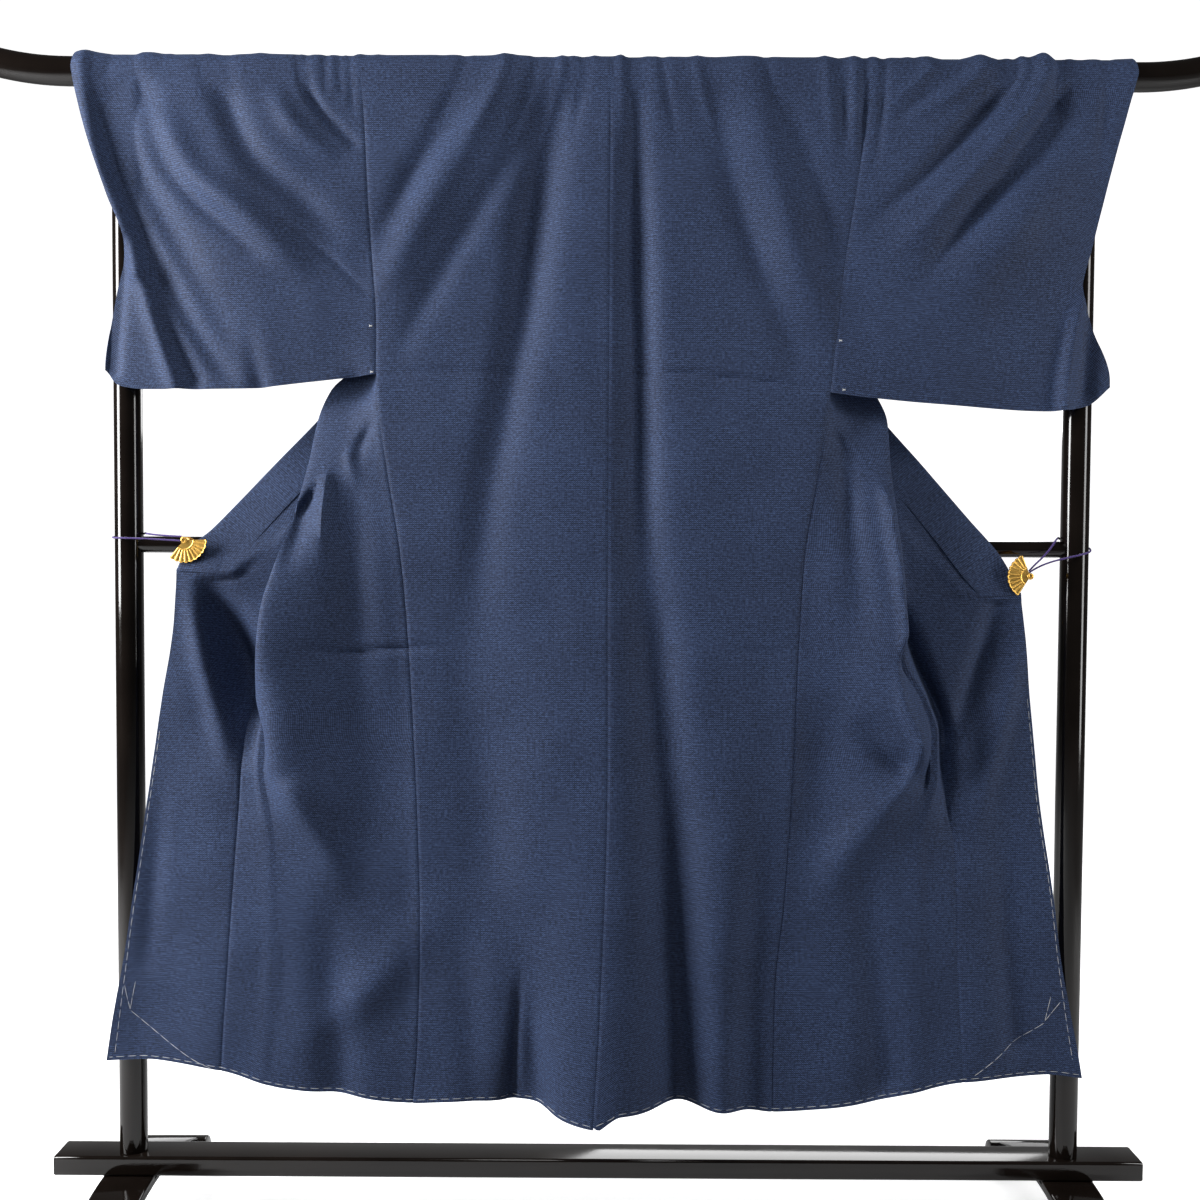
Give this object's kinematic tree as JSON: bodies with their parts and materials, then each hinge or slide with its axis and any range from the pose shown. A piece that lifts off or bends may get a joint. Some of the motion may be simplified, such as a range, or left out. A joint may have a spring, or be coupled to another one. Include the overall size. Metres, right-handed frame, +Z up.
{
  "type": "kimono on a kimono stand",
  "caption": "Men's kimono hung by its sleeves on a free-standing rail, back outwards, its fronts spread sideways and held by fan-shaped clips on cords.",
  "frame": {"origin": "on the floor, under the middle of the stand", "axes": "+Z up, +X along the top rail towards the right sleeve as the back of the garment is looked at, +Y away from the back of the garment, through it to its open front"},
  "size_m": [1.7692, 0.381, 1.6218],
  "materials": {
    "navy_cloth": "fine matt weave with a faint slub, a slight sheen",
    "black_lacquer": "gloss black lacquer",
    "gold_metal": "bright gold plate",
    "purple_cord": "twisted cord"
  },
  "bodies": {
    "root": {"body_left": "navy_cloth", "body_right": "navy_cloth", "okumi_left": "navy_cloth", "okumi_right": "navy_cloth", "sleeve_left": "navy_cloth", "sleeve_right": "navy_cloth", "collar": "navy_cloth", "top_rail": "black_lacquer", "rail_cap_left": "black_lacquer", "rail_cap_right": "black_lacquer", "crossbar": "black_lacquer", "base_rail": "black_lacquer", "upright_left": "black_lacquer", "upright_right": "black_lacquer", "foot_left": "black_lacquer", "foot_right": "black_lacquer", "clip_fan_left": "gold_metal", "clip_fan_right": "gold_metal", "clip_jaw_left": "gold_metal", "clip_jaw_right": "gold_metal", "tie_cord_left": "purple_cord", "tie_cord_right": "purple_cord"}
  },
  "joints": []
}
